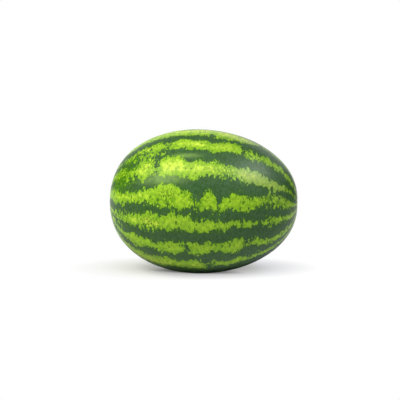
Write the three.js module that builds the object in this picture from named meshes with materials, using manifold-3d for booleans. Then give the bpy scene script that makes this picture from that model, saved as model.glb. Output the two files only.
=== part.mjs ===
// A whole watermelon, lying on its side: one closed body, rounded by a single lathed profile.
// Millimetres, +Z up. +X runs along the fruit, from the stem end (-X) to the blossom end (+X).
// The origin is the middle of the fruit's box at the height of the surface that it rests on.
import * as THREE from "three";
import { mergeVertices } from "three/addons/utils/BufferGeometryUtils.js";
import Module from "manifold-3d";

// Driving dimensions
const LENGTH = 300; // of the rounded form, before the dishes take a millimetre off each end
const DIAMETER = 230; // of the round section at mid length
const END_BLUNTNESS = 2.27; // 2 is an ellipse, and more gives fuller shoulders
const TAPER = 0.052; // share by which the stem half is fatter and the blossom half slimmer
const STEM_DISH = { radius: 24, depth: 4 }; // hollow round the scar of the stem
const BLOSSOM_DISH = { radius: 13, depth: 1.6 }; // dimple round the scar of the flower
const RESTING_CUT = 1; // how far the belly is flattened where the fruit lies

// Fineness of the facets
const STEPS_ALONG = 40;
const STEPS_AROUND = 64;
const END_CROWDING = 0.6; // 0 spaces the rings evenly, and more draws them towards the ends

const RIND = { color: 0x6f9f33, roughness: 0.4, metalness: 0 };

// Radius of the fruit at place, which goes from -1 at the stem end to 1 at the blossom end.
function radiusAt(place) {
  const round = (1 - place * place) ** (1 / END_BLUNTNESS);
  return (DIAMETER / 2) * round * (1 - TAPER * place);
}

// How far a dish pulls the skin in at this radius: its full depth on the axis, fading to nothing.
function sinkIn({ radius, depth }, atRadius) {
  if (atRadius > radius) return 0;
  return (depth * (1 + Math.cos((Math.PI * atRadius) / radius))) / 2;
}

// The half outline, from the stem's scar on the axis to the blossom's, as (radius, distance along).
function outline() {
  const points = [];
  for (let step = 0; step <= STEPS_ALONG; step += 1) {
    const share = step / STEPS_ALONG;
    const turn = 2 * Math.PI * share;
    const place = -Math.cos((turn - END_CROWDING * Math.sin(turn)) / 2);
    const onAxis = step === 0 || step === STEPS_ALONG;
    const radius = onAxis ? 0 : radiusAt(place);
    const pulled = sinkIn(STEM_DISH, place < 0 ? radius : Infinity);
    const pushed = sinkIn(BLOSSOM_DISH, place > 0 ? radius : Infinity);
    points.push(new THREE.Vector2(radius, (LENGTH / 2) * place + pulled - pushed));
  }
  return points;
}

const wasm = await Module();
wasm.setup();

// A closed three.js geometry as a solid that can be cut.
function solidOf(geometry) {
  const bare = geometry.clone();
  bare.deleteAttribute("normal");
  bare.deleteAttribute("uv");
  const merged = mergeVertices(bare);
  const vertProperties = new Float32Array(merged.attributes.position.array);
  const triVerts = new Uint32Array(merged.index.array);
  return new wasm.Manifold(new wasm.Mesh({ numProp: 3, vertProperties, triVerts }));
}

// A solid as a three.js geometry again.
function geometryOf(solid) {
  const { vertProperties, triVerts } = solid.getMesh();
  const geometry = new THREE.BufferGeometry();
  geometry.setAttribute("position", new THREE.BufferAttribute(vertProperties, 3));
  geometry.setIndex(new THREE.BufferAttribute(triVerts, 1));
  geometry.computeVertexNormals();
  return geometry;
}

// The round fruit on its own axis, laid along X.
function roundFruit() {
  const fruit = new THREE.LatheGeometry(outline(), STEPS_AROUND);
  fruit.rotateZ(-Math.PI / 2);
  return fruit;
}

// Everything below the surface that the fruit lies on.
function groundBelow(height) {
  const ground = new THREE.BoxGeometry(LENGTH, DIAMETER, DIAMETER);
  ground.translate(0, 0, height - DIAMETER / 2);
  return ground;
}

// The fruit with its belly flattened to a small resting spot, standing on z = 0 over the origin.
function watermelonGeometry() {
  const surface = RESTING_CUT - DIAMETER / 2;
  const resting = solidOf(roundFruit()).subtract(solidOf(groundBelow(surface)));
  const geometry = geometryOf(resting);
  geometry.computeBoundingBox();
  const middle = geometry.boundingBox.getCenter(new THREE.Vector3());
  geometry.translate(-middle.x, -middle.y, -surface);
  return geometry;
}

const watermelon = new THREE.Mesh(watermelonGeometry(), new THREE.MeshStandardMaterial(RIND));
watermelon.name = "watermelon";

const fruit = new THREE.Group();
fruit.add(watermelon);

export default fruit;
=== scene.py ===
"""A whole striped watermelon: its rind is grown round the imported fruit, and set on a plain pale stage."""

import math
import random

import bmesh
import bpy
import numpy as np
from mathutils import Matrix, Vector, noise


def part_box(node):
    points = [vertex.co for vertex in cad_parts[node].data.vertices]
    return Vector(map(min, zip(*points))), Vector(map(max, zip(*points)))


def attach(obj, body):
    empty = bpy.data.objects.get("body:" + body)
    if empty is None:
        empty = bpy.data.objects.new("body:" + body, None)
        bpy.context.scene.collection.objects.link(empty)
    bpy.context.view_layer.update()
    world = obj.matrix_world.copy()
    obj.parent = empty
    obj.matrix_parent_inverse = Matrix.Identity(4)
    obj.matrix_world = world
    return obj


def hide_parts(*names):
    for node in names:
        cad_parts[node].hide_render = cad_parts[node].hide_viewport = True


bl_info = {
    "name": "Striped Watermelon",
    "version": (1, 0, 0),
    "blender": (4, 5, 0),
    "location": "3D View > Sidebar > Watermelon",
    "description": "Grows the rind of a striped watermelon round its packed solid, and sets the stage",
    "category": "Add Mesh",
}

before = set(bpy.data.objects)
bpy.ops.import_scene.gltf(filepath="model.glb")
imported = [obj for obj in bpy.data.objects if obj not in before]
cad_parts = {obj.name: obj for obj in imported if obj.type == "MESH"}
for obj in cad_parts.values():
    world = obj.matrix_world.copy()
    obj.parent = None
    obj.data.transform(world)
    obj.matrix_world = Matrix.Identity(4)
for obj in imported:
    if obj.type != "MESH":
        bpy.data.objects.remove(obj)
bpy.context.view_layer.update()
NODE = "watermelon"
NODE_LOW, NODE_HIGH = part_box(NODE)

MM = 0.001
HALF_LENGTH = (NODE_HIGH.x - NODE_LOW.x) / 2
DIAMETER = NODE_HIGH.y - NODE_LOW.y
AXIS_HEIGHT = NODE_HIGH.z - DIAMETER / 2  # the belly is cut flat, so the axis is nearer the ground

# Fineness of the rind's mesh
STEPS_ALONG = 280
STEPS_AROUND = 320
END_CROWDING = 0.8  # 0 spaces the rings evenly, and more draws them towards the scars at the ends
TOUCHING = 1e-6  # metres: points nearer than this are one, and a point nearer the axis lies on it

# The relief of a corky scar, in radii of the scar: where each ring stands, how far it reaches to either
# side, and how high it is. They are a rim, the pit inside it, and a shallow moat round both.
SCAR_RINGS = ((0.62, 0.42, 0.14), (0, 0.34, -0.12), (1.25, 0.3, -0.05))

BAKE_MAP = "OFBake"  # the map named for baking the rind's pattern through

# The stripes crowd together at the ends of the fruit, where the radius is less than this share of the
# greatest, and their jagged edges shrink with them, but never below this share
CROWDED = 0.55
LEAST_CROWDED = 0.12

# The light stripes of the front, from the top down. Each has an upper and a lower edge, as places:
# millimetres along the fruit from its middle, and degrees round it from the top towards the front.
FRONT_STRIPES = (
    (
        ((-150, 2), (-60, 2), (60, 1), (90, 5), (150, 0)),
        ((-150, 14), (-100, 20), (-50, 20), (-30, 21), (5, 20), (27, 22), (45, 21), (70, 18), (95, 8),
         (150, 9)),
    ),
    (
        ((-150, 22), (-110, 32), (-90, 29), (-66, 28), (-56, 30), (-45, 29), (-30, 27), (-10, 28),
         (12, 29), (20, 32), (28, 29), (40, 27), (55, 26), (62, 26), (68, 32), (80, 28), (92, 30),
         (105, 27), (120, 27), (150, 30)),
        ((-150, 30), (-110, 37), (-75, 38), (-60, 37), (-45, 38), (-30, 39), (-12, 39), (0, 40), (10, 39),
         (20, 41), (32, 40), (50, 39), (62, 38), (66, 35), (72, 41), (79, 41), (88, 38), (105, 38),
         (120, 37), (150, 42)),
    ),
    (
        ((-150, 36), (-125, 44), (-110, 50), (-98, 51), (-88, 47), (-75, 44), (-60, 50), (-50, 46),
         (-25, 46), (-17, 51), (-9, 53), (0, 50), (12, 51), (20, 50), (40, 52), (60, 53), (90, 52),
         (110, 56), (135, 57), (150, 58)),
        ((-150, 48), (-125, 57), (-110, 60), (-100, 60), (-82, 66), (-74, 64), (-66, 61), (-50, 64),
         (-12, 65), (0, 66), (20, 63), (50, 63), (70, 65), (90, 65), (110, 66), (122, 67), (135, 64),
         (150, 66)),
    ),
    (
        ((-150, 62), (-128, 70), (-116, 76), (-95, 76), (-85, 73), (-70, 74), (-50, 69), (-37, 70),
         (-20, 74), (-10, 76), (-4, 79), (0, 83), (9, 83), (13, 78), (18, 75), (25, 76), (30, 80),
         (37, 85), (41, 82), (50, 78), (58, 75), (70, 77), (80, 78), (100, 77), (110, 74), (125, 75),
         (150, 81)),
        ((-150, 80), (-125, 88), (-110, 86), (-75, 85), (-55, 88), (-20, 89), (25, 89), (30, 90),
         (36, 92), (42, 91), (48, 88), (55, 88), (62, 90), (70, 91), (85, 90), (102, 85), (125, 89),
         (150, 93)),
    ),
    (
        ((-150, 96), (-125, 98), (-105, 96), (-87, 95), (-75, 92), (-60, 93), (-53, 96), (-45, 93),
         (-6, 94), (-1, 98), (12, 98), (20, 96), (37, 99), (70, 99), (98, 102), (108, 101), (135, 103),
         (150, 109)),
        ((-150, 106), (-125, 107), (-90, 108), (-45, 106), (-20, 105), (5, 107), (50, 105), (57, 103),
         (76, 105), (90, 104), (95, 102), (100, 105), (112, 110), (130, 112), (150, 118)),
    ),
    (
        ((-150, 114), (-115, 121), (-100, 117), (-75, 117), (-62, 120), (-38, 116), (5, 116), (40, 117),
         (60, 115), (72, 117), (76, 121), (90, 120), (104, 125), (120, 127), (150, 131)),
        ((-150, 122), (-115, 127), (-95, 132), (-75, 126), (-38, 129), (-18, 126), (3, 128), (28, 125),
         (45, 129), (62, 130), (74, 124), (88, 128), (105, 133), (120, 137), (150, 140)),
    ),
    (
        ((-150, 131), (-115, 137), (-75, 138), (-45, 134), (-30, 137), (-8, 134), (4, 135), (12, 140),
         (30, 136), (45, 139), (60, 137), (80, 141), (100, 142), (125, 146), (150, 149)),
        ((-150, 141), (-115, 152), (-95, 154), (-75, 154), (-60, 151), (-40, 147), (0, 147), (12, 150),
         (30, 143), (48, 148), (75, 146), (95, 149), (120, 153), (150, 157)),
    ),
)

# Dark bridges that cross a light stripe of the front, and light islands in a dark one. Each is an oval:
# millimetres along, degrees round, half length in millimetres along, and half width in millimetres round.
FRONT_BRIDGES = (
    (-13, 122, 4.5, 17), (17, 24, 6.5, 12), (18, 144, 5, 14), (68, 34, 2.5, 6), (35, 89, 2.5, 8),
    (-63, 55, 2, 12),
)
FRONT_ISLANDS = (
    (-72, 42, 16, 6), (-116, 38, 5, 4), (-135, 113, 9, 3), (-102, 66, 7, 3), (-94, 42, 8, 3),
)

# Round places of the front where a light stripe breaks up into specks: millimetres along, degrees round,
# and radius in millimetres
FRONT_SPECKS = (
    (-110, 50, 34), (-72, 47, 24), (-85, 34, 24), (-45, 32, 12), (-70, 105, 26), (45, 60, 22),
    (112, 81, 32), (85, 33, 22), (110, 105, 12), (-120, 100, 20), (75, 122, 12), (-42, 80, 22),
    (4, 81, 24),
)

# Oval places of the front with a shade of their own, some of which are painted light and painted sheen
FRONT_SHADES = {
    # where a light stripe is nearly yellow: partly its own paler middle, and partly painted light where the
    # light falls brightest
    "paleness_and_painted_light": (
        (-35, 56, 50, 20), (20, 57, 45, 14), (80, 58, 30, 12), (2, 34, 60, 14), (-80, 56, 20, 14),
        (-80, 35, 30, 12), (20, 7, 120, 30), (-40, 144, 110, 22), (-100, 80, 36, 12), (-75, 102, 40, 12),
    ),
    # painted sheen: where a light stripe is dulled towards grey, where the lamps' sheen falls on the right
    "painted_sheen": ((96, 57, 64, 44), (78, 10, 50, 28)),
    # where the dark skin stays a vivid young green
    "haze": ((-120, 58, 34, 36), (-100, 42, 18, 9)),
    # where the dark skin has a grey-green bloom, partly painted sheen where the lamps' sheen falls on it
    "bloom": ((-50, 66, 56, 14), (-16, 46, 34, 7)),
}

# The light stripes of the hidden side: how many there are, and the degrees round of the first and the last
HIDDEN_COUNT = 9
HIDDEN_FIRST = 177
HIDDEN_LAST = 344

# The patterns of the rind, in millimetres on the fruit
STIR_SIZE = 9  # of the waves that stir the other patterns
STIR_REACH = 8  # how far they push a place from one side to the other, at most
LOBE_SIZE = 9  # of the round lobes of a light stripe's edge
LOBE_DEPTH = 7.0
TOOTH_SIZE = 6.5  # of the teeth of that edge
VEIN_SIZE = 8  # of the meshes of the net of veins, which hold at most one fleck each
PATCH_SIZE = 16  # of the patches that have more or fewer flecks
MOTTLE_SIZE = 7  # of the soft blotches in both greens
HATCH_SIZE = 4.5  # of the ribs and the hatching
GRIT_SIZE = 1.4  # of the cracks in the cork
PORE_SIZE = 1.8
PORE_DEPTH = 0.12
# The teeth, veins, flecks, ribs and hatching stand across the stripes: they are this much narrower along
# the fruit than they are long round it
ALONG_SQUEEZE = 2.0

# The ranges that follow are inputs of Map Range nodes, which go from 0 to 1 where nothing else is given.
# First, where the skin changes: from and to how many millimetres inside a light stripe, or outside where
# negative. The lobes take about three millimetres off it, so that its jagged edge lies at about -3.
EDGE = {"From Min": -3.6, "From Max": -2.8}  # from dark to light
FRINGE = {"From Min": -9.0, "From Max": -3.5, "To Max": 0.7}  # from dark to its fringe
RIBBED = {"From Min": -2.0, "From Max": 6.0}  # from ribbed to plain
CORE = {"From Min": 0.0, "From Max": 8.0}  # from light to its paler middle

# What a place's marks do, from where a mark is 0 to where it is 1
TOOTH_REACH = {"To Min": 24.0, "To Max": 60.0}  # specks: the height of the teeth's noise, in millimetres
VEIN_STRENGTH = {"To Min": 0.2}  # specks: how much the veins show
CORE_STRENGTH = {"To Min": 0.15}  # paleness and painted light: how pale the middle of the stripe is, brightened in places as painted light
FLECKS_LEFT = {"To Min": 1.0, "To Max": 0.7}  # paleness and painted light: what it leaves of each fleck's chance
# Painted sheen: how far it dulls a light stripe towards grey
PAINTED_SHEEN_STRENGTH = 0.4

# What becomes of the noises and the cells
MOTTLE = {"From Min": 0.28, "From Max": 0.55}
RIB = {"From Min": -0.1, "From Max": 0.04, "To Min": 0.1}  # from between two ribs to on one
VEIN = {"From Min": 0.02, "From Max": 0.16, "To Min": 1.0, "To Max": 0.0}  # out of a vein, in meshes
FLECK_SIZE = {"From Min": 0.18, "From Max": 0.55, "To Max": 0.46}  # chance to radius, in meshes
FLECK_RIM = {"From Min": -0.06, "From Max": 0.08, "To Max": 0.9}
FRESHNESS = {"To Max": 0.5}  # mottling to the share of young green in the fringe
CLOUDS = {"To Min": 0.5}  # mottling to the share of the bloom, partly painted sheen, that shows
CREAM_RIM = {"From Min": 0.0, "From Max": 0.35, "To Max": 0.9}
CORK_RIM = {"From Min": -0.04, "From Max": 0.08}
HATCH_STRENGTH = 4.0
CREAM_RAGGED = 1.2
CORK_RAGGED = 0.8
PORE_STRENGTH = 0.25

# The numbers that the mesh holds for each of its places, and that the material reads by these names
MARKS = ("light_stripe", "specks", "paleness_and_painted_light", "painted_sheen", "haze", "bloom", "ground_spot", "cork")

# How the floor changes from the fruit outwards: from and to which distances from the middle of an oval,
# in the oval's own half lengths
SHADOW_FADE = {"From Min": 0.6, "From Max": 1.7, "To Min": 0.33}  # as seen: a lifted shadow to plain white
FOOT_FADE = {"From Min": 0.3, "From Max": 1.2}  # as seen: the lamps' whole shadow to the lifted one
MIRRORED_FADE = {"From Min": 1.2, "From Max": 2.0}  # as mirrored: the whole shadow to plain white
BOUNCE_FADE = {"From Min": 1.0, "From Max": 2.2}  # where no light is thrown at the fruit to where it is
SHADOW_SHIFT = -20 * MM  # the middle of the wide oval, along the fruit
SHADOW_BEHIND = 0.5  # how far back that middle lies, in the oval's half widths
FOOT_SHIFT = -14 * MM  # the middle of the foot's oval, along the fruit

FLOOR_REACH = 3  # metres from the middle of the floor to its edges

# Tints: the lamps on the left are a little warm, the one on the right is cool, and the cards are black
PLAIN = "#FFFFFF"
WARM = "#FCFFE0"
COOL = "#DAD8FF"
BLACK = "#1A1A1A"

# The lamps: name, direction from the fruit, distance, width and height in metres, watts, tint, whether the
# matt skin is lit, and whether the gloss is
LAMPS = (
    ("softbox_left", (-0.49, -0.54, 0.69), 1.3, 0.6, 0.5, 5.7, WARM, True, True),
    ("softbox_above", (-0.05, -0.56, 0.83), 1.4, 1.3, 0.5, 6.2, PLAIN, True, True),
    ("softbox_side", (-0.8, -0.35, 0.55), 1.3, 0.9, 0.9, 5.9, WARM, True, False),
    ("softbox_right", (0.6, -0.31, 0.74), 1.3, 0.5, 0.45, 6.5, COOL, True, False),
    ("sheen_right", (0.62, -0.17, 0.76), 1.3, 1.0, 0.45, 11.0, PLAIN, False, True),
)

# The black cards: name, place, width and height in metres
CARDS = (
    ("dark_card_behind", (0.1, 0.7, 1.2), 2.4, 0.75),
    ("dark_card_left", (-1.17, 0.45, 0.64), 1.2, 1.0),
    ("dark_card_right", (1.0, 0.75, 0.3), 1.1, 0.6),
)


def length(name, description, millimetres):
    """A property that holds a length, shown in the scene's own unit."""
    return bpy.props.FloatProperty(
        name=name,
        description=description,
        default=millimetres * MM,
        precision=5,
        subtype="DISTANCE",
        unit="LENGTH",
    )


def angle(name, description, degrees):
    """A property that holds an angle."""
    return bpy.props.FloatProperty(
        name=name, description=description, default=math.radians(degrees), subtype="ANGLE"
    )


def linear(hex_colour):
    """An sRGB hex colour as linear red, green and blue."""
    shares = [int(hex_colour[i : i + 2], 16) / 255 for i in (1, 3, 5)]
    return [c / 12.92 if c <= 0.04045 else ((c + 0.055) / 1.055) ** 2.4 for c in shares]


def colour(name, description, hex_colour):
    """A property that holds a colour, given as sRGB hex."""
    return bpy.props.FloatVectorProperty(
        name=name,
        description=description,
        default=linear(hex_colour),
        size=3,
        min=0,
        max=1,
        subtype="COLOR",
    )


def share(name, description, default, most=1.0):
    """A property that holds a plain number from 0 to most."""
    return bpy.props.FloatProperty(name=name, description=description, default=default, min=0, max=most)


class RindShape(bpy.types.PropertyGroup):
    """The turned form of the fruit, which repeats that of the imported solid, and its low relief."""

    bluntness: share("Bluntness", "2 is an ellipse, and more gives fuller shoulders", 2.27, 4)
    taper: share("Taper", "Share by which the stem half is fatter", 0.052)
    stem_dish_radius: length("Stem Dish Radius", "Radius of the hollow round the stem's scar", 24)
    stem_dish_depth: length("Stem Dish Depth", "Depth of the hollow round the stem's scar", 4)
    blossom_dish_radius: length("Blossom Dish Radius", "Radius of the dimple round the blossom's scar", 13)
    blossom_dish_depth: length("Blossom Dish Depth", "Depth of the dimple round the blossom's scar", 1.6)
    stem_scar: length("Stem Scar", "Radius of the cork where the stem broke off", 6)
    blossom_scar: length("Blossom Scar", "Radius of the cork that the flower left", 4)
    lump: length("Lump Height", "How far the rind swells and sinks out of true", 0.5)
    lump_size: length("Lump Size", "Distance over which the rind swells and sinks", 75)
    belly_blend: length("Belly Blend", "Height over which the round belly turns into its flat spot", 0.8)
    ground_length: length("Ground Spot Length", "Half length of the cream spot on the belly", 60)
    ground_width: length("Ground Spot Width", "Half width of the cream spot on the belly", 36)
    ground_shift: length("Ground Spot Shift", "How far towards the stem the cream spot lies", 9)


class RindFinish(bpy.types.PropertyGroup):
    """The colours and the wax of the rind."""

    light: colour("Light Stripe", "Yellow-green of the light stripes", "#A8D52A")
    light_core: colour("Light Stripe, Middle", "Lime of the middle of a broad light stripe", "#DDF54E")
    light_deep: colour("Light Stripe, Deeper", "Green that the light stripes are mottled with", "#79AF1D")
    # Painted sheen: the dull grey-green laid on the light stripes where the lamps' sheen falls on the right
    painted_sheen: colour("Painted Sheen", "Dull green of the light stripes where they are dusty", "#A3A974")
    fleck: colour("Fleck", "Green of the small veins and flecks in the light stripes", "#42780C")
    dark: colour("Dark Stripe", "Bottle green of the dark stripes", "#305323")
    dark_pale: colour("Dark Stripe, Paler", "Green that the dark stripes are hatched with", "#41663A")
    dark_edge: colour("Dark Stripe, Edge", "Deep green of the dark stripes beside light ones", "#204A0C")
    young: colour("Young Green", "Green of the dark stripes where they are hazy", "#558C10")
    # Bloom: partly real wax bloom and partly painted sheen, laid on the dark stripes where the lamps' sheen
    # falls
    bloom: colour("Bloom", "Grey-green of the dark stripes where they have a bloom", "#769B4A")
    ground: colour("Ground Spot", "Cream of the belly, where the fruit lay on the ground", "#D9CB86")
    cork: colour("Cork", "Tan of the dry scars at the ends", "#A68A5B")
    cork_deep: colour("Cork, Deeper", "Brown in the cracks of the scars", "#4E3A22")
    roughness: share("Roughness", "Roughness of the waxed rind", 0.35)
    cork_roughness: share("Cork Roughness", "Roughness of the dry cork", 0.85)
    ior: share("IOR", "Refraction of the bloom of wax, which is thinner than polished wax", 1.3, 2)
    seed: bpy.props.IntProperty(name="Seed", description="Draws the hidden side's stripes", default=11)


class StageSettings(bpy.types.PropertyGroup):
    """The camera, the lamps and the floor."""

    azimuth: angle("Azimuth", "Turn of the camera round the fruit", 7)
    elevation: angle("Elevation", "Height of the camera", 7)
    roll: angle("Roll", "Tilt of the camera about its own line of sight", 0.6)
    distance: length("Distance", "From the camera to the middle of the fruit", 1603)
    lens: bpy.props.FloatProperty(
        name="Focal Length",
        description="Of the camera's lens, in millimetres",
        default=90,
        subtype="DISTANCE_CAMERA",
    )
    shift_x: bpy.props.FloatProperty(
        name="Shift X", description="Sideways shift of the lens, as a share of the frame", default=-0.0099
    )
    shift_y: bpy.props.FloatProperty(
        name="Shift Y", description="Upward shift of the lens, as a share of the frame", default=0.0036
    )
    paper: colour("Paper", "White of the floor and the backdrop", "#FFFFFF")
    bounce: share("Floor Bounce", "Share of the light that the floor throws back at the fruit", 0.85)
    fill: share("Fill", "Strength of the even light from all round", 0.08, 2)
    shadow_length: length("Shadow Length", "Half length of the shadow's oval, along the fruit", 122)
    shadow_width: length("Shadow Width", "Half width of the shadow's oval, across the fruit", 65)
    shadow_turn: angle("Shadow Turn", "Of the shadow's oval, from along the fruit", 12)
    foot_length: length("Foot Length", "Half length of the deep shadow at the foot, along the fruit", 70)
    foot_width: length("Foot Width", "Half width of the deep shadow at the foot, across the fruit", 20)


def finished(bm, name, material):
    """Turns a bmesh into an object of the scene, made of this material."""
    mesh = bpy.data.meshes.new(name)
    bm.to_mesh(mesh)
    bm.free()
    mesh.materials.append(material)
    made = bpy.data.objects.new(name, mesh)
    bpy.context.scene.collection.objects.link(made)
    return made


# ---------------------------------------------------------------- form


def sink_in(radius, dish_radius, depth):
    """How far a dish pulls the skin in at this radius: its full depth on the axis, fading to nothing."""
    inside = np.clip(radius / dish_radius, 0, 1)
    return depth * (1 + np.cos(np.pi * inside)) / 2


def bump(values, middle, reach):
    """A smooth hump of height 1 about a middle value, gone at reach on either side."""
    away = np.clip(np.abs(values - middle) / reach, 0, 1)
    return (1 - away**2) ** 2


def outline(shape):
    """The fruit's half outline from the stem's scar to the blossom's: radii and places along X."""
    turn = 2 * np.pi * np.linspace(0, 1, STEPS_ALONG + 1)
    place = -np.cos((turn - END_CROWDING * np.sin(turn)) / 2)
    round_share = np.clip(1 - place**2, 0, 1) ** (1 / shape.bluntness)
    radius = DIAMETER / 2 * round_share * (1 - shape.taper * place)
    radius[[0, -1]] = 0
    along = HALF_LENGTH * place
    stem, blossom = place < 0, place > 0
    along[stem] += sink_in(radius[stem], shape.stem_dish_radius, shape.stem_dish_depth)
    along[blossom] -= sink_in(radius[blossom], shape.blossom_dish_radius, shape.blossom_dish_depth)
    along = np.interp(along, (along.min(), along.max()), (NODE_LOW.x, NODE_HIGH.x))
    for end, scar, out in ((stem, shape.stem_scar, -1), (blossom, shape.blossom_scar, 1)):
        for where, reach, height in SCAR_RINGS:
            along[end] += out * scar * height * bump(radius[end], where * scar, reach * scar)
    return radius, along


def turned(shape):
    """The outline spun about the fruit's axis into one closed body."""
    bm = bmesh.new()
    rows = [bm.verts.new((x, 0, r)) for r, x in zip(*outline(shape))]
    edges = [bm.edges.new(pair) for pair in zip(rows, rows[1:])]
    bmesh.ops.spin(
        bm,
        geom=rows + edges,
        cent=(0, 0, 0),
        axis=(1, 0, 0),
        angle=2 * math.pi,
        steps=STEPS_AROUND,
        use_merge=True,
    )
    bmesh.ops.remove_doubles(bm, verts=bm.verts, dist=TOUCHING)
    bmesh.ops.recalc_face_normals(bm, faces=bm.faces)
    for face in bm.faces:
        face.smooth = True
    return bm


def soften(bm, shape):
    """Takes the lathe's evenness away with low swellings, then lays the belly flat on the ground."""
    bm.normal_update()
    for vert in bm.verts:
        swell = noise.noise(vert.co / shape.lump_size) * shape.lump
        fade = min(1, math.hypot(vert.co.y, vert.co.z) / shape.stem_dish_radius)
        vert.co += vert.normal * swell * fade
    bmesh.ops.translate(bm, verts=bm.verts, vec=(0, 0, AXIS_HEIGHT))
    for vert in bm.verts:
        near = max(shape.belly_blend - abs(vert.co.z), 0) / shape.belly_blend
        vert.co.z = max(vert.co.z, 0) + near**2 * shape.belly_blend / 4


def places_on(mesh):
    """Where each vertex lies: x, y, z, its distance from the axis, and its angle round from the top."""
    places = np.empty(len(mesh.vertices) * 3)
    mesh.vertices.foreach_get("co", places)
    x, y, z = places.reshape(-1, 3).T
    radius = np.hypot(y, z - AXIS_HEIGHT)
    return x, y, z, radius, np.arctan2(-y, z - AXIS_HEIGHT)


def lay_out_map(mesh):
    """One map over the whole rind: the first number runs along the fruit and the second round it."""
    x, _, _, radius, round_it = places_on(mesh)
    round_it = round_it / (2 * np.pi) % 1
    on_axis = radius < TOUCHING
    along = np.arctan2(x / HALF_LENGTH, radius / (DIAMETER / 2)) / np.pi + 0.5
    corners = np.empty(len(mesh.loops), int)
    mesh.loops.foreach_get("vertex_index", corners)
    layer = mesh.uv_layers.new(name=BAKE_MAP)
    for face in mesh.polygons:
        own = corners[face.loop_start : face.loop_start + face.loop_total]
        turns = round_it[own]
        if np.ptp(turns[~on_axis[own]]) > 0.5:
            turns = np.where(turns < 0.5, turns + 1, turns)
        turns[on_axis[own]] = turns[~on_axis[own]].mean()
        for loop, v, corner in zip(face.loop_indices, turns, own):
            layer.data[loop].uv = (along[corner], v * STEPS_AROUND / (STEPS_AROUND + 1))


# ------------------------------------------------------------- stripes


def hidden_stripes(seed):
    """The light stripes that run on round the back and the belly, drawn at random in the front's style.

    They come with their bridges and specks, all in the units of the front's.
    """
    draw = random.Random(seed)
    step = (HIDDEN_LAST - HIDDEN_FIRST) / (HIDDEN_COUNT - 1)
    stripes, bridges, specks = [], [], []
    for number in range(HIDDEN_COUNT):
        middle = HIDDEN_FIRST + step * number + draw.uniform(-1.5, 1.5)
        half_width = draw.uniform(6.2, 8.2)
        edges = []
        for side in (-1, 1):
            stations = [-150, *(x + draw.uniform(-7, 7) for x in range(-120, 121, 20)), 150]
            edges.append([(x, middle + side * half_width * draw.uniform(0.7, 1.25)) for x in stations])
        stripes.append(edges)
        for _ in range(draw.choice((0, 1, 1, 2))):
            place = (draw.uniform(-110, 110), middle + draw.uniform(-6, 6))
            bridges.append((*place, draw.uniform(2, 5), draw.uniform(6, 17)))
        for _ in range(2):
            place = (draw.uniform(-125, 125), middle + draw.uniform(-6, 6))
            specks.append((*place, draw.uniform(15, 32)))
    return stripes, bridges, specks


def out_of_spot(spot, x, turns, radius):
    """How far each place of the rind lies from the middle of an oval spot: less than 1 inside it."""
    along, around, half_length, half_width = spot
    degrees = (turns - around + 180) % 360 - 180
    return np.hypot((x - along) / half_length, np.radians(degrees) * radius / half_width)


def spotted(spots, x, turns, radius):
    """From 0 to 1 for each place of the rind: 1 in the middle of a spot, and 0 where it is in none."""
    field = np.zeros(len(x))
    for spot in spots:
        field = np.maximum(field, bump(out_of_spot(spot, x, turns, radius), 0, 1))
    return field


def flowing(x, stations):
    """The smooth line through the stations, read at each x: cubics that never overshoot."""
    places, heights = np.array(stations, float).T
    rises = np.diff(heights) / np.diff(places)
    before, after = rises[:-1], rises[1:]
    slopes = np.zeros(len(places))
    turning = before * after <= 0
    slopes[1:-1] = np.where(turning, 0, 2 * before * after / np.where(turning, 1, before + after))
    first = np.clip(np.searchsorted(places, x) - 1, 0, len(places) - 2)
    gap = places[first + 1] - places[first]
    part = np.clip((x - places[first]) / gap, 0, 1)
    start = heights[first] * (1 + 2 * part) + slopes[first] * gap * part
    end = heights[first + 1] * (3 - 2 * part) - slopes[first + 1] * gap * (1 - part)
    return start * (1 - part) ** 2 + end * part**2


def stripe_depth(stripes, islands, bridges, x, turns, radius):
    """How many millimetres each place of the rind lies inside a light stripe, or outside if negative."""
    inside = np.full(len(x), -1e3)
    for upper, lower in stripes:
        top, bottom = flowing(x, upper), flowing(x, lower)
        middle, half = (top + bottom) / 2, (bottom - top) / 2
        around = np.abs((turns - middle + 180) % 360 - 180)
        inside = np.maximum(inside, np.radians(half - around) * radius)
    for spot in islands:
        inside = np.maximum(inside, (1 - out_of_spot(spot, x, turns, radius)) * min(spot[2:]))
    for spot in bridges:
        inside = np.minimum(inside, (out_of_spot(spot, x, turns, radius) - 1) * min(spot[2:]))
    return inside


def mark(mesh, name, values):
    """Stores one number for each vertex of the mesh under a name that its material reads."""
    attribute = mesh.attributes.new(name, "FLOAT", "POINT")
    attribute.data.foreach_set("value", np.asarray(values, np.float32))


def mark_rind(mesh, shape, seed):
    """Marks where the rind is striped, speckled and shaded, with its painted light and painted sheen, where
    it lay on the ground, and its cork.
    """
    x, y, z, radius, turns = places_on(mesh)
    rind = (x / MM, np.degrees(turns) % 360, radius / MM)
    stripes, bridges, specks = hidden_stripes(seed)
    depth = stripe_depth((*FRONT_STRIPES, *stripes), FRONT_ISLANDS, (*FRONT_BRIDGES, *bridges), *rind)
    crowding = np.clip(radius / (CROWDED * DIAMETER / 2), LEAST_CROWDED, 1)
    mark(mesh, "light_stripe", depth / crowding)
    round_specks = [(*spot, spot[-1]) for spot in (*FRONT_SPECKS, *specks)]
    mark(mesh, "specks", spotted(round_specks, *rind))
    for name, spots in FRONT_SHADES.items():
        mark(mesh, name, spotted(spots, *rind))
    belly = np.hypot((x + shape.ground_shift) / shape.ground_length, y / shape.ground_width)
    mark(mesh, "ground_spot", np.where(z < AXIS_HEIGHT, 1 - belly, -1))
    scar = np.where(x < 0, shape.stem_scar, shape.blossom_scar)
    mark(mesh, "cork", 1 - radius / scar)


# ------------------------------------------------------------ material

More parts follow.
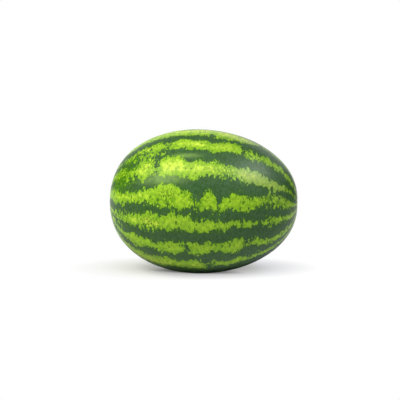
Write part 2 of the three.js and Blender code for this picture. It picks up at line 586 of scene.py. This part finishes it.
# The inputs of a Mix node of colours, and its output, by number: their names aren't theirs alone
MIX_SHARE, MIX_FROM, MIX_TO = 0, 6, 7
MIXED = 2


def add_node(tree, kind, links=None, **settings):
    """Adds a node with its settings. A link is an input's name or number, and a socket or value for it."""
    node = tree.nodes.new(kind)
    for name, value in settings.items():
        setattr(node, name, value)
    for name, value in (links or {}).items():
        if isinstance(value, bpy.types.NodeSocket):
            tree.links.new(value, node.inputs[name])
        else:
            node.inputs[name].default_value = value
    return node


def empty_material(name):
    """A new material without nodes, and its node tree."""
    material = bpy.data.materials.new(name)
    material.use_nodes = True
    material.node_tree.nodes.clear()
    return material, material.node_tree


def per_metre(millimetres):
    """The scale of a texture whose features are this far apart."""
    return 1 / (millimetres * MM)


def rind_patterns(tree):
    """What the rind is drawn with, by name: the mesh's marks, the stirred places, and the noises."""
    pattern = {}
    for name in MARKS:
        pattern[name] = add_node(tree, "ShaderNodeAttribute", attribute_name=name).outputs["Fac"]

    # Stirred places, so that no cell looks regular, and the same squeezed along the fruit
    place = add_node(tree, "ShaderNodeTexCoord").outputs["Object"]
    stir = add_node(
        tree, "ShaderNodeTexNoise", {"Vector": place, "Scale": per_metre(STIR_SIZE), "Detail": 2.0}
    ).outputs["Color"]
    stir = add_node(
        tree, "ShaderNodeVectorMath", {0: stir, 1: (0.5, 0.5, 0.5)}, operation="SUBTRACT"
    ).outputs[0]
    reach = STIR_REACH * MM
    stirred = add_node(
        tree,
        "ShaderNodeVectorMath",
        {0: stir, 1: (reach, reach, reach), 2: place},
        operation="MULTIPLY_ADD",
    ).outputs[0]
    across = add_node(
        tree, "ShaderNodeMapping", {"Vector": stirred, "Scale": (ALONG_SQUEEZE, 1, 1)}
    ).outputs["Vector"]
    pattern.update(stirred=stirred, across=across)

    # Noises: name, where it is read, size in millimetres, detail and roughness
    noises = (
        ("teeth", across, TOOTH_SIZE, 2.5, 0.6),
        ("hatch", across, HATCH_SIZE, 2.0, 0.5),
        ("mottle", stirred, MOTTLE_SIZE, 3.0, 0.5),
        ("patches", place, PATCH_SIZE, 2.0, 0.5),
        ("grit", place, GRIT_SIZE, 3.0, 0.5),
        ("pores", place, PORE_SIZE, 2.0, 0.5),
    )
    for name, where, size, detail, roughness in noises:
        settings = {"Vector": where, "Scale": per_metre(size), "Detail": detail, "Roughness": roughness}
        pattern[name] = add_node(tree, "ShaderNodeTexNoise", settings).outputs["Fac"]
    # The teeth and the hatching are centred on zero, and the mottling is made stronger
    for name in ("teeth", "hatch"):
        pattern[name] = add_node(
            tree, "ShaderNodeMath", {0: pattern[name], 1: 0.5}, operation="SUBTRACT"
        ).outputs[0]
    pattern["mottle"] = add_node(
        tree, "ShaderNodeMapRange", {"Value": pattern["mottle"], **MOTTLE}
    ).outputs[0]
    return pattern


def jagged_edge(tree, pattern):
    """How many millimetres each place lies inside a light stripe whose edges have lobes and teeth.

    The lobes are round. The teeth run across the stripe, and grow long where it is speckled.
    """
    lobe = {"Vector": pattern["stirred"], "Scale": per_metre(LOBE_SIZE)}
    lobes = add_node(tree, "ShaderNodeTexVoronoi", lobe, feature="F1").outputs["Distance"]
    edge = add_node(
        tree,
        "ShaderNodeMath",
        {0: lobes, 1: -LOBE_DEPTH, 2: pattern["light_stripe"]},
        operation="MULTIPLY_ADD",
    ).outputs[0]
    reach = add_node(
        tree, "ShaderNodeMapRange", {"Value": pattern["specks"], **TOOTH_REACH}
    ).outputs[0]
    return add_node(
        tree, "ShaderNodeMath", {0: pattern["teeth"], 1: reach, 2: edge}, operation="MULTIPLY_ADD"
    ).outputs[0]


def ribs_across(tree, pattern):
    """Ribs that stand across the stripes: near 0 between them, and 1 on them or deep in a light stripe."""
    ribs = add_node(tree, "ShaderNodeMapRange", {"Value": pattern["hatch"], **RIB}).outputs[0]
    inner = add_node(tree, "ShaderNodeMapRange", {"Value": pattern["edge"], **RIBBED}).outputs[0]
    return add_node(tree, "ShaderNodeMath", {0: ribs, 1: inner}, operation="MAXIMUM").outputs[0]


def veins_and_flecks(tree, pattern):
    """How much each place of a light stripe has of the green of its veins and flecks, from 0 to 1."""
    cell = {"Vector": pattern["across"], "Scale": per_metre(VEIN_SIZE)}
    # Veins: a fine net, faint but where the stripe is speckled
    net = add_node(tree, "ShaderNodeTexVoronoi", cell, feature="DISTANCE_TO_EDGE").outputs["Distance"]
    net = add_node(tree, "ShaderNodeMapRange", {"Value": net, **VEIN}).outputs[0]
    vivid = add_node(
        tree, "ShaderNodeMapRange", {"Value": pattern["specks"], **VEIN_STRENGTH}
    ).outputs[0]
    net = add_node(tree, "ShaderNodeMath", {0: net, 1: vivid}, operation="MULTIPLY").outputs[0]

    # Flecks: a dot or a dash in some of the net's meshes, at most as long as the mesh. There are more of
    # them, and larger ones, in some patches, and fewer where the skin is pale.
    cells = add_node(tree, "ShaderNodeTexVoronoi", cell, feature="F1")
    chance = add_node(tree, "ShaderNodeSeparateXYZ", {0: cells.outputs["Color"]}).outputs["X"]
    chance = add_node(
        tree, "ShaderNodeMath", {0: chance, 1: pattern["patches"]}, operation="MULTIPLY"
    ).outputs[0]
    left = add_node(
        tree, "ShaderNodeMapRange", {"Value": pattern["paleness_and_painted_light"], **FLECKS_LEFT}
    ).outputs[0]
    chance = add_node(tree, "ShaderNodeMath", {0: chance, 1: left}, operation="MULTIPLY").outputs[0]
    radius = add_node(tree, "ShaderNodeMapRange", {"Value": chance, **FLECK_SIZE}).outputs[0]
    flecks = add_node(
        tree, "ShaderNodeMath", {0: radius, 1: cells.outputs["Distance"]}, operation="SUBTRACT"
    ).outputs[0]
    flecks = add_node(tree, "ShaderNodeMapRange", {"Value": flecks, **FLECK_RIM}).outputs[0]
    return add_node(tree, "ShaderNodeMath", {0: flecks, 1: net}, operation="MAXIMUM").outputs[0]


def light_skin(tree, pattern, finish):
    """The colour of a light stripe: mottled, ribbed at its edges, paler in its middle with painted light in
    places, dulled by painted sheen in places, and flecked.
    """
    most = add_node(
        tree, "ShaderNodeMapRange", {"Value": pattern["paleness_and_painted_light"], **CORE_STRENGTH}
    ).outputs[0]
    core = add_node(
        tree, "ShaderNodeMapRange", {"Value": pattern["edge"], **CORE, "To Max": most}
    ).outputs[0]
    skin = add_node(
        tree,
        "ShaderNodeMix",
        {MIX_SHARE: core, MIX_FROM: (*finish.light, 1), MIX_TO: (*finish.light_core, 1)},
        data_type="RGBA",
    ).outputs[MIXED]
    ribbed = add_node(
        tree, "ShaderNodeMath", {0: pattern["mottle"], 1: pattern["ribs"]}, operation="MULTIPLY"
    ).outputs[0]
    skin = add_node(
        tree,
        "ShaderNodeMix",
        {MIX_SHARE: ribbed, MIX_FROM: (*finish.light_deep, 1), MIX_TO: skin},
        data_type="RGBA",
    ).outputs[MIXED]
    # Painted sheen: dulls the light stripes towards grey where the lamps' sheen falls
    sheened = add_node(
        tree, "ShaderNodeMath", {0: pattern["painted_sheen"], 1: PAINTED_SHEEN_STRENGTH}, operation="MULTIPLY"
    ).outputs[0]
    flecks = veins_and_flecks(tree, pattern)
    for amount, tone in ((sheened, finish.painted_sheen), (flecks, finish.fleck)):
        mix = {MIX_SHARE: amount, MIX_FROM: skin, MIX_TO: (*tone, 1)}
        skin = add_node(tree, "ShaderNodeMix", mix, data_type="RGBA").outputs[MIXED]
    return skin


def dark_skin(tree, pattern, finish):
    """The colour of a dark stripe: hatched, with haze, with a bloom that is partly painted sheen, and with
    a fringe beside a light one.
    """
    hatched = add_node(
        tree,
        "ShaderNodeMath",
        {0: pattern["hatch"], 1: HATCH_STRENGTH, 2: pattern["patches"]},
        operation="MULTIPLY_ADD",
    ).outputs[0]
    skin = add_node(
        tree,
        "ShaderNodeMix",
        {MIX_SHARE: hatched, MIX_FROM: (*finish.dark, 1), MIX_TO: (*finish.dark_pale, 1)},
        data_type="RGBA",
    ).outputs[MIXED]

    # The fringe is a few millimetres wide, and deeper or fresher green by turns
    fresh = add_node(tree, "ShaderNodeMapRange", {"Value": pattern["mottle"], **FRESHNESS}).outputs[0]
    fresh = add_node(
        tree,
        "ShaderNodeMix",
        {MIX_SHARE: fresh, MIX_FROM: (*finish.dark_edge, 1), MIX_TO: (*finish.young, 1)},
        data_type="RGBA",
    ).outputs[MIXED]
    fringe = add_node(tree, "ShaderNodeMapRange", {"Value": pattern["edge"], **FRINGE}).outputs[0]
    skin = add_node(
        tree, "ShaderNodeMix", {MIX_SHARE: fringe, MIX_FROM: skin, MIX_TO: fresh}, data_type="RGBA"
    ).outputs[MIXED]

    # Haze lies on the ribs, and the bloom, partly painted sheen, lies in soft clouds
    clouds = add_node(tree, "ShaderNodeMapRange", {"Value": pattern["mottle"], **CLOUDS}).outputs[0]
    for name, broken, tone in (("haze", pattern["ribs"], finish.young), ("bloom", clouds, finish.bloom)):
        amount = add_node(
            tree, "ShaderNodeMath", {0: pattern[name], 1: broken}, operation="MULTIPLY"
        ).outputs[0]
        mix = {MIX_SHARE: amount, MIX_FROM: skin, MIX_TO: (*tone, 1)}
        skin = add_node(tree, "ShaderNodeMix", mix, data_type="RGBA").outputs[MIXED]
    return skin


def creamy_belly(tree, pattern, finish, skin):
    """The skin with the cream spot where the fruit lay on the ground. The spot's edge is ragged."""
    creamy = add_node(
        tree,
        "ShaderNodeMath",
        {0: pattern["teeth"], 1: CREAM_RAGGED, 2: pattern["ground_spot"]},
        operation="MULTIPLY_ADD",
    ).outputs[0]
    creamy = add_node(tree, "ShaderNodeMapRange", {"Value": creamy, **CREAM_RIM}).outputs[0]
    return add_node(
        tree,
        "ShaderNodeMix",
        {MIX_SHARE: creamy, MIX_FROM: skin, MIX_TO: (*finish.ground, 1)},
        data_type="RGBA",
    ).outputs[MIXED]


def corky_scars(tree, pattern, finish, skin):
    """The skin with the dry, cracked cork of its two scars, and how corky each place is, from 0 to 1."""
    bark = add_node(
        tree,
        "ShaderNodeMix",
        {MIX_SHARE: pattern["grit"], MIX_FROM: (*finish.cork_deep, 1), MIX_TO: (*finish.cork, 1)},
        data_type="RGBA",
    ).outputs[MIXED]
    corky = add_node(
        tree,
        "ShaderNodeMath",
        {0: pattern["teeth"], 1: CORK_RAGGED, 2: pattern["cork"]},
        operation="MULTIPLY_ADD",
    ).outputs[0]
    corky = add_node(tree, "ShaderNodeMapRange", {"Value": corky, **CORK_RIM}).outputs[0]
    skin = add_node(
        tree, "ShaderNodeMix", {MIX_SHARE: corky, MIX_FROM: skin, MIX_TO: bark}, data_type="RGBA"
    ).outputs[MIXED]
    return skin, corky


def waxed_rind(finish):
    """Waxed rind: a thin bloom of wax over green skin gives broad soft lights and a pale rim."""
    material, tree = empty_material("waxed_rind")
    pattern = rind_patterns(tree)
    pattern["edge"] = jagged_edge(tree, pattern)
    pattern["ribs"] = ribs_across(tree, pattern)
    lit = add_node(
        tree,
        "ShaderNodeMapRange",
        {"Value": pattern["edge"], **EDGE},
        interpolation_type="SMOOTHSTEP",
    ).outputs[0]
    dark = dark_skin(tree, pattern, finish)
    light = light_skin(tree, pattern, finish)
    skin = add_node(
        tree, "ShaderNodeMix", {MIX_SHARE: lit, MIX_FROM: dark, MIX_TO: light}, data_type="RGBA"
    ).outputs[MIXED]
    skin = creamy_belly(tree, pattern, finish, skin)
    skin, corky = corky_scars(tree, pattern, finish, skin)

    # The wax is smooth but not polished, and has fine pores. The cork is dry.
    dull = add_node(
        tree,
        "ShaderNodeMapRange",
        {"Value": corky, "To Min": finish.roughness, "To Max": finish.cork_roughness},
    ).outputs[0]
    relief = add_node(
        tree,
        "ShaderNodeBump",
        {"Height": pattern["pores"], "Strength": PORE_STRENGTH, "Distance": PORE_DEPTH * MM},
    ).outputs["Normal"]
    shader = add_node(
        tree,
        "ShaderNodeBsdfPrincipled",
        {"Base Color": skin, "Roughness": dull, "Normal": relief, "IOR": finish.ior},
    ).outputs["BSDF"]
    add_node(tree, "ShaderNodeOutputMaterial", {"Surface": shader})
    return material


# --------------------------------------------------------------- stage


def seen_rays(tree):
    """1 for the camera's rays and for mirrored or refracted ones, and 0 for the light of matt things."""
    path = add_node(tree, "ShaderNodeLightPath").outputs
    seen = add_node(
        tree, "ShaderNodeMath", {0: path["Is Camera Ray"], 1: path["Is Glossy Ray"]}, operation="MAXIMUM"
    ).outputs[0]
    return add_node(
        tree, "ShaderNodeMath", {0: seen, 1: path["Is Transmission Ray"]}, operation="MAXIMUM"
    ).outputs[0]


def out_of_oval(tree, middle, half_length, half_width, turn):
    """How far each place of the floor lies from the middle of an oval: less than 1 inside the oval."""
    oval = {
        "Vector": add_node(tree, "ShaderNodeTexCoord").outputs["Object"],
        "Location": (*middle, 0),
        "Rotation": (0, 0, turn),
        "Scale": (half_length, half_width, 1),
    }
    place = add_node(tree, "ShaderNodeMapping", oval, vector_type="TEXTURE").outputs["Vector"]
    return add_node(tree, "ShaderNodeVectorMath", {0: place}, operation="LENGTH").outputs["Value"]


def white_paper(stage):
    """Seamless paper: matt and white, and it holds the fruit's shadow without a horizon.

    The shadow lies in a wide oval that is mostly behind the foot, and is deepest in a small one round the
    foot. Mirrored rays see the whole shadow, and the light that the paper throws at the fruit comes from
    afar only.
    """
    material, tree = empty_material("white_paper")
    middle = (SHADOW_SHIFT, stage.shadow_width * SHADOW_BEHIND)
    away = out_of_oval(tree, middle, stage.shadow_length, stage.shadow_width, stage.shadow_turn)
    foot = out_of_oval(tree, (FOOT_SHIFT, 0), stage.foot_length, stage.foot_width, 0)
    lifted = add_node(tree, "ShaderNodeMapRange", {"Value": away, **SHADOW_FADE}).outputs[0]
    near = add_node(tree, "ShaderNodeMapRange", {"Value": foot, **FOOT_FADE}).outputs[0]
    lifted = add_node(tree, "ShaderNodeMath", {0: lifted, 1: near}, operation="MULTIPLY").outputs[0]
    mirrored = add_node(tree, "ShaderNodeMapRange", {"Value": away, **MIRRORED_FADE}).outputs[0]
    thrown = add_node(
        tree, "ShaderNodeMapRange", {"Value": away, **BOUNCE_FADE, "To Max": stage.bounce}
    ).outputs[0]

    camera = add_node(tree, "ShaderNodeLightPath").outputs["Is Camera Ray"]
    plain = add_node(
        tree, "ShaderNodeMapRange", {"Value": camera, "To Min": mirrored, "To Max": lifted}
    ).outputs[0]
    seen = seen_rays(tree)
    plain = add_node(tree, "ShaderNodeMath", {0: plain, 1: seen}, operation="MULTIPLY").outputs[0]
    tone = add_node(
        tree,
        "ShaderNodeMix",
        {MIX_SHARE: seen, MIX_FROM: thrown, MIX_TO: (*stage.paper, 1)},
        data_type="RGBA",
    ).outputs[MIXED]
    matt = add_node(tree, "ShaderNodeBsdfDiffuse", {"Color": tone}).outputs["BSDF"]
    white = add_node(
        tree, "ShaderNodeEmission", {"Color": (*stage.paper, 1), "Strength": 1.0}
    ).outputs["Emission"]
    shader = add_node(tree, "ShaderNodeMixShader", {0: plain, 1: matt, 2: white}).outputs[0]
    add_node(tree, "ShaderNodeOutputMaterial", {"Surface": shader})
    return material


def white_surroundings(scene, stage):
    """The world: white where it is seen or mirrored, and an even, weaker light everywhere else."""
    world = bpy.data.worlds.new("white_surroundings")
    world.use_nodes = True
    tree = world.node_tree
    tree.nodes.clear()
    strength = add_node(
        tree, "ShaderNodeMapRange", {"Value": seen_rays(tree), "To Min": stage.fill, "To Max": 1.0}
    ).outputs[0]
    light = add_node(
        tree, "ShaderNodeBackground", {"Color": (*stage.paper, 1), "Strength": strength}
    ).outputs[0]
    add_node(tree, "ShaderNodeOutputWorld", {"Surface": light})
    scene.world = world


def softbox(name, towards, distance, width, height, watts, tint, lights_matt, lights_gloss):
    """A soft lamp that faces the fruit from the direction towards, which points away from it."""
    data = bpy.data.lights.new(name, "AREA")
    data.shape = "RECTANGLE"
    data.size = width
    data.size_y = height
    data.energy = watts
    data.color = linear(tint)
    lamp = bpy.data.objects.new(name, data)
    aim = Vector(towards).normalized()
    lamp.location = Vector((0, 0, AXIS_HEIGHT)) + aim * distance
    lamp.rotation_euler = aim.to_track_quat("Z", "Y").to_euler()
    lamp.visible_diffuse = lights_matt
    lamp.visible_glossy = lights_gloss
    bpy.context.scene.collection.objects.link(lamp)


def black_card():
    """Black card: it is matt, and nearly no light comes back from it."""
    material, tree = empty_material("black_card")
    black = add_node(tree, "ShaderNodeBsdfDiffuse", {"Color": (*linear(BLACK), 1)}).outputs["BSDF"]
    add_node(tree, "ShaderNodeOutputMaterial", {"Surface": black})
    return material


def dark_card(name, place, width, height, material):
    """An upright card that faces the fruit, so that the rind doesn't mirror white there.

    Only mirrored rays meet it.
    """
    turn = Vector((place[0], place[1], 0)).to_track_quat("Z", "Y").to_matrix().to_4x4()
    bm = bmesh.new()
    bmesh.ops.create_grid(bm, x_segments=1, y_segments=1, size=0.5)
    bmesh.ops.scale(bm, verts=bm.verts, vec=(width, height, 1))
    bmesh.ops.transform(bm, verts=bm.verts, matrix=Matrix.Translation(place) @ turn)
    card = finished(bm, name, material)
    card.visible_camera = False
    card.visible_diffuse = False
    card.visible_shadow = False


def add_camera(scene, stage):
    """A long lens that looks at the middle of the fruit, which the shift sets a little off the centre."""
    data = bpy.data.cameras.new("camera")
    data.lens = stage.lens
    data.shift_x = stage.shift_x
    data.shift_y = stage.shift_y
    camera = bpy.data.objects.new("camera", data)
    back = Vector(
        (
            math.sin(stage.azimuth) * math.cos(stage.elevation),
            -math.cos(stage.azimuth) * math.cos(stage.elevation),
            math.sin(stage.elevation),
        )
    )
    place = Matrix.Translation(Vector((0, 0, AXIS_HEIGHT)) + back * stage.distance)
    aim = back.to_track_quat("Z", "Y").to_matrix().to_4x4()
    camera.matrix_world = place @ aim @ Matrix.Rotation(stage.roll, 4, "Z")
    scene.collection.objects.link(camera)
    scene.camera = camera


# ----------------------------------------------------------- operators


class WATERMELON_OT_rind(bpy.types.Operator):
    """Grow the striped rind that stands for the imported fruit"""

    bl_idname = "watermelon.rind"
    bl_label = "Grow Rind"

    def execute(self, context):
        shape, finish = context.scene.watermelon_shape, context.scene.watermelon_finish
        bm = turned(shape)
        soften(bm, shape)
        rind = finished(bm, "watermelon_rind", waxed_rind(finish))
        lay_out_map(rind.data)
        mark_rind(rind.data, shape, finish.seed)
        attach(rind, "root")
        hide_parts(NODE)
        return {"FINISHED"}


class WATERMELON_OT_stage(bpy.types.Operator):
    """Set the floor, the lamps, the cards, the surroundings and the camera"""

    bl_idname = "watermelon.stage"
    bl_label = "Set Stage"

    def execute(self, context):
        scene, stage = context.scene, context.scene.watermelon_stage
        scene.view_settings.view_transform = "Standard"
        bm = bmesh.new()
        bmesh.ops.create_grid(bm, x_segments=1, y_segments=1, size=FLOOR_REACH)
        floor = finished(bm, "paper_floor", white_paper(stage))
        white_surroundings(scene, stage)
        for lamp in LAMPS:
            softbox(*lamp)
        black = black_card()
        for card in CARDS:
            dark_card(*card, black)
        add_camera(scene, stage)
        return {"FINISHED"}


class WATERMELON_PT_panel(bpy.types.Panel):
    """The watermelon's settings and the steps that make it"""

    bl_label = "Watermelon"
    bl_space_type = "VIEW_3D"
    bl_region_type = "UI"
    bl_category = "Watermelon"

    def draw(self, context):
        scene = context.scene
        groups = (
            (scene.watermelon_shape, WATERMELON_OT_rind),
            (scene.watermelon_finish, None),
            (scene.watermelon_stage, WATERMELON_OT_stage),
        )
        for settings, operator in groups:
            column = self.layout.column(align=True)
            for name in settings.__annotations__:
                column.prop(settings, name)
            if operator:
                column.operator(operator.bl_idname)


CLASSES = (
    RindShape,
    RindFinish,
    StageSettings,
    WATERMELON_OT_rind,
    WATERMELON_OT_stage,
    WATERMELON_PT_panel,
)
GROUPS = {
    "watermelon_shape": RindShape,
    "watermelon_finish": RindFinish,
    "watermelon_stage": StageSettings,
}


def register():
    for cls in CLASSES:
        bpy.utils.register_class(cls)
    for name, group in GROUPS.items():
        setattr(bpy.types.Scene, name, bpy.props.PointerProperty(type=group))


def unregister():
    for name in GROUPS:
        delattr(bpy.types.Scene, name)
    for cls in reversed(CLASSES):
        bpy.utils.unregister_class(cls)


def main():
    register()
    bpy.ops.watermelon.rind()
    bpy.ops.watermelon.stage()


if __name__ == "__main__":
    main()
